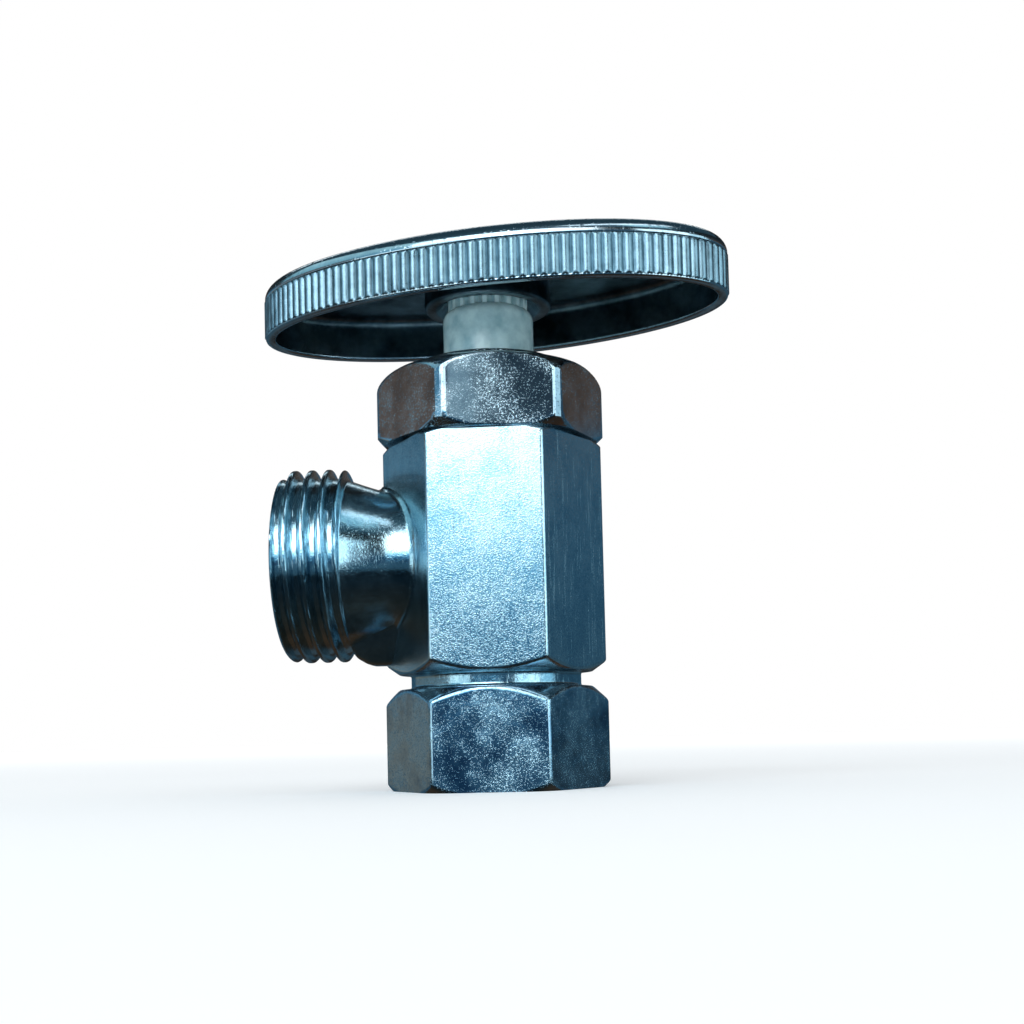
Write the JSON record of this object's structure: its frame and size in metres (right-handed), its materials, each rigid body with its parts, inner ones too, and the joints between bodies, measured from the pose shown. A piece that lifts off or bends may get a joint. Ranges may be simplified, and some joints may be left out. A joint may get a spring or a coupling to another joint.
{
  "type": "angle stop valve",
  "caption": "Multi-turn angle stop valve with a female threaded inlet, a male threaded side outlet, a hexagonal body, a packing nut and an oval knurled handle.",
  "frame": {"origin": "on the valve's axis at the inlet face", "axes": "+Z along the valve's axis from the inlet to the handle, -X along the outlet"},
  "size_m": [0.0506, 0.0288, 0.0592],
  "materials": {
    "plated_brass": "satin plated",
    "nut_chrome": "pitted bright plating",
    "handle_chrome": "bright plating on zinc",
    "off_white_acetal": "satin",
    "packing_rubber": "matt",
    "washer_rubber": "matt",
    "brass": "bright",
    "holder_brass": "bright",
    "white_nylon": "satin",
    "plated_steel": "bright"
  },
  "bodies": {
    "valve": {"valve_body": "plated_brass", "packing_nut": "nut_chrome", "packing_washer": "brass", "stem_packing": "packing_rubber", "friction_ring": "white_nylon"},
    "swivel": {"washer_holder": "holder_brass", "seat_washer": "washer_rubber"},
    "stem_and_handle": {"stem": "off_white_acetal", "handle": "handle_chrome", "handle_screw": "plated_steel"}
  },
  "joints": [
    {"name": "stem_lift", "type": "slide", "parent": "valve", "child": "swivel", "axis": [0, 0, 1], "range_m": [-0.00397, 0.0008]},
    {"name": "handle_turn", "type": "hinge", "parent": "swivel", "child": "stem_and_handle", "pos_m": [0, 0, 0.03], "axis": [0, 0, 1], "range_deg": [-900, 180]}
  ],
  "couplings": [
    {"joint": "stem_lift", "follows": "handle_turn", "m_per_rad": 0.00025266}
  ]
}
